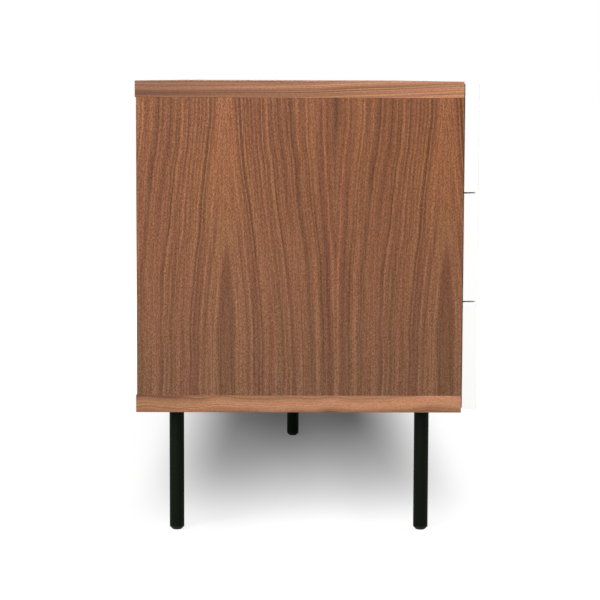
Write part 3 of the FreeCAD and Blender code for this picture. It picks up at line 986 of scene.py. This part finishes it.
def turned(profile, centre=(0, 0), closed=False, steps=TURN_STEPS, shape=None):
    """Turns a profile of (radius, height) points about an upright line through the centre."""
    shape = shape or bmesh.new()
    columns = []
    poles = {}
    for step in range(steps):
        angle = tau * step / steps
        column = []
        for index, (radius, height) in enumerate(profile):
            on_axis = radius < SAME_PLACE
            if on_axis and index in poles:
                column.append(poles[index])
                continue
            place = (centre[0] + radius * cos(angle), centre[1] + radius * sin(angle), height)
            corner = shape.verts.new(place)
            if on_axis:
                poles[index] = corner
            column.append(corner)
        columns.append(column)
    runs = list(range(len(profile) - 1))
    pairs = [(index, index + 1) for index in runs] + ([(len(profile) - 1, 0)] if closed else [])
    made = []
    for step in range(steps):
        here, there = columns[step], columns[(step + 1) % steps]
        for first, second in pairs:
            corners = [here[first], there[first], there[second], here[second]]
            made.append(shape.faces.new(list(dict.fromkeys(corners))))
    bmesh.ops.recalc_face_normals(shape, faces=made)
    return shape


def smooth_shaded(piece, material):
    """The piece in one material, shaded smooth except at its sharp edges."""
    for face in piece.data.polygons:
        face.use_smooth = True
    piece.data.set_sharp_from_angle(angle=SHARP)
    return covered(piece, material)


# %% [markdown]
# A leg is a steel tube with a soft edge at its foot, powder-coated matt black. A plastic
# glide closes its lower end, and a plate on top carries the screws. The weld between the
# tube and its plate is a small rippled bead, which Geometry Nodes lay along a circle.

# %% Legs, glides and plates
TUBE_WALL = 2 * MM
TUBE_EDGE = 0.5 * MM
GLIDE_HEIGHT = 6 * MM
GLIDE_STUB = 12 * MM
STUB_PLAY = 0.1 * MM
GLIDE_CHAMFER = 4.5 * MM
GLIDE_EDGE = 0.6 * MM


def leg_centre(node):
    """Where a leg stands, on X and Y."""
    low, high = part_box(node)
    return (low.x + high.x) / 2, (low.y + high.y) / 2


def corner_arc(radius, height, size, start):
    """A quarter circle of a profile, from one direction to the next."""
    return arc((radius, height), size, start, start + pi / 2, 4)


leg_low, leg_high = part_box("leg_centre")
tube_radius = (leg_high.x - leg_low.x) / 2
bore_radius = tube_radius - TUBE_WALL
edge_radius = tube_radius - TUBE_EDGE
tube_profile = (
    [(bore_radius, leg_high.z), (bore_radius, leg_low.z)]
    + corner_arc(edge_radius, leg_low.z + TUBE_EDGE, TUBE_EDGE, -pi / 2)
    + [(tube_radius, leg_high.z)]
)
glide_top = GLIDE_HEIGHT - TUBE_EDGE / 2
stub_radius = bore_radius - STUB_PLAY
glide_profile = (
    [(0, 0)]
    + arc((tube_radius - GLIDE_CHAMFER, GLIDE_EDGE), GLIDE_EDGE, -pi / 2, -pi / 4, 3)
    + arc((tube_radius - GLIDE_EDGE, GLIDE_CHAMFER), GLIDE_EDGE, -pi / 4, 0, 3)
    + corner_arc(tube_radius - TUBE_EDGE / 2, glide_top, TUBE_EDGE / 2, 0)
    + [(stub_radius, GLIDE_HEIGHT), (stub_radius, GLIDE_HEIGHT + GLIDE_STUB)]
    + [(0, GLIDE_HEIGHT + GLIDE_STUB)]
)
glides_shape = bmesh.new()
for node in LEGS:
    tube = new_piece("steel_" + node, turned(tube_profile, leg_centre(node), closed=True))
    dress(smooth_shaded(tube, black_powder), "carcass", "black_steel", node)
    turned(glide_profile, leg_centre(node), shape=glides_shape)
glides = smooth_shaded(new_piece("plastic_glides", glides_shape), black_plastic)
dress(glides, "carcass", "glide_plastic", "leg_glides")

plates = covered(soften(new_piece("welded_plates", copy_of("leg_plates"))), black_powder)
dress(plates, "carcass", "black_steel", "leg_plates")
print("legs:", len(LEGS), "tubes of", round(tube_radius * 2 / MM, 1), "mm")

# %% [markdown]
# ## Pieces that grow on places
# Welds and screws repeat, so Geometry Nodes make them. A tree gets a set of places, lays
# the same thing on each of them and turns the result into real geometry with a material.
# Its modifier is then turned into plain mesh.

# %% Geometry Nodes helpers


def new_grower(title, recipe, **inputs):
    """A tree that holds a recipe and ends in real geometry with its material."""
    inputs = {"geometry": "Geometry", **inputs, "material": "Material"}
    tree, given, result = new_tree(title, "GeometryNodeTree", inputs, {"Geometry": "Geometry"})
    real = wired("GeometryNodeRealizeInstances", {0: recipe(given)})
    made = wired("GeometryNodeSetMaterial", {"Geometry": real, "Material": given.material})
    feed(result, "Geometry", made)
    print(title, "tree:", len(tree.nodes), "nodes")
    return tree


def grown_on(name, places, tree, **values):
    """A piece that a tree makes on a set of places."""
    points = bmesh.new()
    for place in places:
        points.verts.new(place)
    piece = new_piece(name, points)
    modifier = piece.modifiers.new("grow", "NODES")
    modifier.node_group = tree
    sockets = {item.name: item.identifier for item in tree.interface.items_tree}
    for word, value in values.items():
        modifier[sockets[label(word)]] = value
    return settled(piece)


# %% Weld beads
BEAD_RADIUS = 1.7 * MM
CIRCLE = "GeometryNodeCurvePrimitiveCircle"


def weld_bead(given):
    """A round section swept round the tube, with a radius that ripples."""
    circle = wired(CIRCLE, {"Resolution": 160, "Radius": given.ring_radius})
    share = source(given.geometry.tree, "GeometryNodeSplineParameter", "Factor")
    wave = calc("SINE", share * (given.ripples * tau)) * given.ripple_depth
    radius = (wave + 1.0) * given.bead_radius
    section = source(given.geometry.tree, CIRCLE, inputs={"Resolution": 10, "Radius": 1.0})
    inputs = {"Curve": circle, "Profile Curve": section, "Scale": radius}
    swept = wired("GeometryNodeCurveToMesh", inputs)
    return wired("GeometryNodeInstanceOnPoints", {"Points": given.geometry, "Instance": swept})


weld_tree = new_grower(
    "Weld Bead", weld_bead, ring_radius=0.011, bead_radius=0.0018, ripples=40.0,
    ripple_depth=0.16,
)
plate_low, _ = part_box("leg_plates")
bead_places = [(*leg_centre(node), plate_low.z) for node in LEGS]
beads = grown_on(
    "weld_beads", bead_places, weld_tree, ring_radius=tube_radius, bead_radius=BEAD_RADIUS,
    material=black_powder,
)
dress(smooth_shaded(beads, black_powder), "carcass", "black_steel")
print("weld beads:", len(bead_places))

# %% [markdown]
# ## Screws and bumpers
# Pan-head screws hold the plates, the back, the fronts and the runners. One head is
# turned and its cross cut out. A tree then sets a copy on every place, scaled, facing
# the right way and turned by a random amount, since no fitter lines up the crosses. The
# soft bumpers that the fronts meet are small round pads, which the same tree can place.

# %% Fixings tree
FIXING_SEED = 7


def fixings(given):
    """A copy of one fixing on every place, facing one way and turned at random."""
    fixing = wired("GeometryNodeObjectInfo", {"Object": given.fixing}, "Geometry")
    inputs = {
        "Points": given.geometry,
        "Instance": fixing,
        "Rotation": given.facing,
        "Scale": given.scale,
    }
    placed = wired("GeometryNodeInstanceOnPoints", inputs)
    draw = {2: 0.0, 3: given.turn, "Seed": given.seed}
    turn = wired("FunctionNodeRandomValue", draw, 1, data_type="FLOAT")
    spin = wired("ShaderNodeCombineXYZ", {2: turn})
    return wired("GeometryNodeRotateInstances", {"Instances": placed, "Rotation": spin})


fixing_tree = new_grower(
    "Fixings", fixings, fixing="Object", scale=1.0, facing="Rotation", turn=tau,
    seed=FIXING_SEED,
)

# %% One screw head and one bumper
# both have a radius of 1 and are scaled when they are placed
HEAD_HEIGHT = 0.6
HEAD_RIM = 0.18
CROSS_LENGTH = 0.52
CROSS_WIDTH = 0.11
CROSS_DEPTH = 0.3
PAD_HEIGHT = 0.17

dome = [
    (cos(turn), HEAD_RIM + (HEAD_HEIGHT - HEAD_RIM) * sin(turn))
    for turn in (radians(angle) for angle in range(15, 90, 15))
]
pan_profile = [(0, 0), (1, 0), (1, HEAD_RIM), *dome, (0, HEAD_HEIGHT)]
pan_head = new_piece("pan_head", turned(pan_profile, steps=28))
for reach_x, reach_y in ((CROSS_LENGTH, CROSS_WIDTH), (CROSS_WIDTH, CROSS_LENGTH)):
    bar = box_outline(-reach_x, reach_x, -reach_y, reach_y)
    carve(pan_head, slab(bar, 2, HEAD_HEIGHT - CROSS_DEPTH, HEAD_HEIGHT + CROSS_DEPTH))
pad_rim = arc((1 - PAD_HEIGHT, 0), PAD_HEIGHT, 0, pi / 2, 4)
pad = new_piece("pad", turned([(0, 0), *pad_rim, (0, PAD_HEIGHT)], steps=32))
print("screw head:", len(pan_head.data.polygons), "faces, bumper:", len(pad.data.polygons))

# %% [markdown]
# Zinc-plated steel is bright but not a mirror: the strip keeps fine lines from the
# rolling mill, and the plating is cloudy. One group gives both, and the runners and
# the screws share it.

# %% Zinc


def zinc(given):
    """Fine lines from the rolling mill below cloudy plating."""
    lines = noise(given.place, (900, 6, 900), 2.0, 0.6)
    cloud = noise(given.place, (45, 30, 45), 3.0, 0.6)
    colour = mixed(between(cloud, 0.3, 0.7), given.dark, given.light)
    return colour, between(lines * 0.5 + cloud * 0.5, 0.3, 0.7, 0.26, 0.42), lines


zinc_group = surface_group(
    "Zinc Plating", zinc, dark=(0.38, 0.39, 0.40, 1), light=(0.56, 0.57, 0.58, 1)
)
PLATED = {"Metallic": 1.0}
bright_zinc = finish("bright_zinc", zinc_group, 0.01 * MM, PLATED)
screw_zinc = finish(
    "screw_zinc", zinc_group, 0.01 * MM, PLATED,
    dark=(0.30, 0.30, 0.28, 1), light=(0.48, 0.48, 0.46, 1),
)

# %% Screws of the plates
FACING = {
    "down": Matrix.Rotation(pi, 3, "X").to_euler(),
    "back": Matrix.Rotation(-pi / 2, 3, "X").to_euler(),
    "front": Matrix.Rotation(pi / 2, 3, "X").to_euler(),
    "left": Matrix.Rotation(-pi / 2, 3, "Y").to_euler(),
    "right": Matrix.Rotation(pi / 2, 3, "Y").to_euler(),
}


def screws(name, places, facing, radius, fixing=pan_head, material=screw_zinc):
    """A screw head, or another fixing, on every place."""
    piece = grown_on(
        name, places, fixing_tree, fixing=fixing, scale=radius, facing=FACING[facing],
        material=material,
    )
    return smooth_shaded(piece, material)


PLATE_HOLE_SPREAD = 25 * MM
LEG_SCREW = 4 * MM
plate_screw_places = [
    (x + PLATE_HOLE_SPREAD * x_side, y + PLATE_HOLE_SPREAD * y_side, plate_low.z)
    for x, y in (leg_centre(node) for node in LEGS)
    for x_side in (-1, 1)
    for y_side in (-1, 1)
]
plate_screws = screws("plate_screws", plate_screw_places, "down", LEG_SCREW)
dress(plate_screws, "carcass", "black_steel")
print("screws in the leg plates:", len(plate_screw_places))

# %% Screws of the back
BACK_SCREW = 3.2 * MM
BACK_SCREW_INSET = 5 * MM
# where the screws stand, as shares of the back's length and height
SHARES_ALONG = (0.03, 0.265, 0.5, 0.735, 0.97)
SHARES_UP = (0.2, 0.5, 0.8)
back_low, back_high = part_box("back_panel")
back_places = []
for share in SHARES_ALONG:
    x = back_low.x + (back_high.x - back_low.x) * share
    for z in (back_low.z + BACK_SCREW_INSET, back_high.z - BACK_SCREW_INSET):
        back_places.append((x, back_high.y, z))
for share in SHARES_UP:
    z = back_low.z + (back_high.z - back_low.z) * share
    for x in (back_low.x + BACK_SCREW_INSET, 0, back_high.x - BACK_SCREW_INSET):
        back_places.append((x, back_high.y, z))
rear_screws = screws("rear_screws", back_places, "back", BACK_SCREW)
dress(rear_screws, "carcass", "runner_steel")
print("screws in the back:", len(back_places))

# %% Screws of the fronts
FRONT_SCREW = 4 * MM
FRONT_SCREW_INSET = 70 * MM
FRONT_SCREW_RISES = (32 * MM, 78 * MM)
BOX_END = 15 * MM
for drawer in DRAWERS:
    low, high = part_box("box_ends_" + drawer)
    places = [
        (x, low.y + BOX_END, low.z + rise)
        for x in (low.x + FRONT_SCREW_INSET, high.x - FRONT_SCREW_INSET)
        for rise in FRONT_SCREW_RISES
    ]
    piece = screws("front_screws_" + drawer, places, "back", FRONT_SCREW)
    dress(piece, "drawer_" + drawer, "runner_steel")
print("screws in each front:", len(places))

# %% Bumpers
BUMPER = 4 * MM
BUMPER_DROP = 30 * MM
HALF_COLUMN_GAP = 2 * MM
divider_low, divider_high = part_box("centre_divider")
side_low, side_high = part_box("side_panel_right")
divider_landing = (HALF_COLUMN_GAP + divider_high.x) / 2
side_landing = (side_low.x + side_high.x) / 2
bumper_places = []
for row in ROWS:
    _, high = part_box("front_" + row + "_right")
    for x in (divider_landing, side_landing):
        for side in (-1, 1):
            bumper_places.append((x * side, divider_low.y, high.z - BUMPER_DROP))
bumpers = screws(
    "soft_bumpers", bumper_places, "front", BUMPER, fixing=pad, material=clear_rubber
)
dress(bumpers, "carcass", "bumper_rubber", "front_bumpers")
print("bumpers:", len(bumper_places))

# %% [markdown]
# ## Runners
# Each drawer hangs on two telescopic runners of three nested channels. A channel is
# folded from strip, so its outline has round bends, and its web is punched with long
# holes for the screws. The smallest channel sits on the drawer, the largest on the
# carcass, and the middle one goes half as far as the drawer.

# %% Runner channels
METAL = 1.2 * MM
BEND = 1.0 * MM
BEND_STEPS = 5
PLAY = 0.3 * MM
RUNNER_THICKNESS = 13 * MM
TIP_GAP = 1.5 * MM
HOLE_WIDTH = 12 * MM
HOLE_HEIGHT = 5 * MM
HOLE_PITCH = 64 * MM
nest = METAL + PLAY


def channel_outline(web, tip, low, high):
    """The section of a folded channel, on X and Z, with rounded bends and tips."""
    way = 1 if tip > web else -1
    outer, inner = BEND + METAL, BEND
    outline = []
    for z, up in ((low, 1), (high, -1)):
        middle = (web + way * outer, z + up * outer)
        turns = [pi / 2 * number / BEND_STEPS for number in range(BEND_STEPS + 1)]
        ways = [(-way * cos(turn), -up * sin(turn)) for turn in turns]
        outside = [(middle[0] + x * outer, middle[1] + y * outer) for x, y in ways]
        inside = [(middle[0] + x * inner, middle[1] + y * inner) for x, y in ways]
        flange = outside + [(tip, z), (tip, z + up * METAL)] + inside[::-1]
        outline += flange if up == 1 else flange[::-1]
    return outline


def hole_places(front, rear):
    """Where the long holes lie along a channel, evenly spaced about its middle."""
    count = int((rear - front) / HOLE_PITCH)
    start = (front + rear) / 2 - HOLE_PITCH * (count - 1) / 2
    return [start + HOLE_PITCH * number for number in range(count)]


def channel(web, tip, low, high, front, rear):
    """A channel with a row of long holes in its web."""
    piece = new_piece("channel", slab(channel_outline(web, tip, low, high), 1, front, rear))
    holes = bmesh.new()
    reach = (web - METAL * 2, web + METAL * 2)
    for place in hole_places(front, rear):
        centre = (place, (low + high) / 2)
        slab(slot_outline(centre, HOLE_WIDTH, HOLE_HEIGHT), 0, reach[0], reach[1], shape=holes)
    return carve(piece, holes)


def joined(name, parts):
    """One piece from several, which are removed."""
    shape = bmesh.new()
    for part in parts:
        shape.from_mesh(part.data)
        bpy.data.objects.remove(part)
    return new_piece(name, shape)


def bay_walls(drawer):
    """The two walls that a drawer's runners are fixed to, with the way into the bay."""
    low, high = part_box("box_sides_" + drawer)
    return (low.x - RUNNER_THICKNESS, 1), (high.x + RUNNER_THICKNESS, -1)


CHANNELS = {
    "outer": (0.0, RUNNER_THICKNESS - 2 * TIP_GAP, 0),
    "middle": (nest, RUNNER_THICKNESS - TIP_GAP, 1),
    "inner": (RUNNER_THICKNESS, nest + METAL + TIP_GAP, 2),
}


def runner_pair(kind, drawer):
    """The channels of one kind on both sides of a drawer."""
    low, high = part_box("box_runners_" + drawer)
    web_place, tip_place, depth = CHANNELS[kind]
    widen = nest * (2 - depth)
    return [
        channel(
            wall + way * web_place, wall + way * tip_place, low.z - widen, high.z + widen,
            low.y, high.y,
        )
        for wall, way in bay_walls(drawer)
    ]


outer_parts = []
for drawer in DRAWERS:
    outer_parts += runner_pair("outer", drawer)
    middle = joined("middle_channels_" + drawer, runner_pair("middle", drawer))
    smooth_shaded(middle, bright_zinc)
    dress(middle, "runner_" + drawer, "runner_steel", "middle_runners_" + drawer)
    inner = joined("inner_channels_" + drawer, runner_pair("inner", drawer))
    smooth_shaded(inner, bright_zinc)
    dress(inner, "drawer_" + drawer, "runner_steel", "box_runners_" + drawer)
outer = smooth_shaded(joined("outer_channels", outer_parts), bright_zinc)
dress(outer, "carcass", "runner_steel", "cabinet_runners")
print("runner channels:", len(DRAWERS) * 6)

# %% Screws in the inner channels
RUNNER_SCREW = 3.4 * MM
for drawer in DRAWERS:
    low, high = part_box("box_runners_" + drawer)
    holes = hole_places(low.y, high.y)
    chosen = (holes[0], holes[len(holes) // 2], holes[-1])
    for (wall, way), facing in zip(bay_walls(drawer), ("left", "right")):
        face = wall + way * (RUNNER_THICKNESS - METAL)
        places = [(face, place, (low.z + high.z) / 2) for place in chosen]
        piece = screws("runner_screws_" + drawer + "_" + facing, places, facing, RUNNER_SCREW)
        dress(piece, "drawer_" + drawer, "runner_steel")
print("runner screws:", len(DRAWERS) * 6)

# %% [markdown]
# ## What stays hidden
# The tongues in the joints never show, so their solids stay as they are and only get
# the plywood finish.

# %% Tongues
tongue_ply = finish("tongue_ply", birch_group, 0.05 * MM, {"Specular IOR Level": 0.3})
covered(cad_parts["joint_tongues"], tongue_ply)
print("tongues: in plain plywood")

# %% Clear away the patterns and print the sizes
for helper in (pan_head, pad):
    bpy.data.objects.remove(helper)

low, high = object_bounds()
print("visual size:", [round(size, 4) for size in high - low])
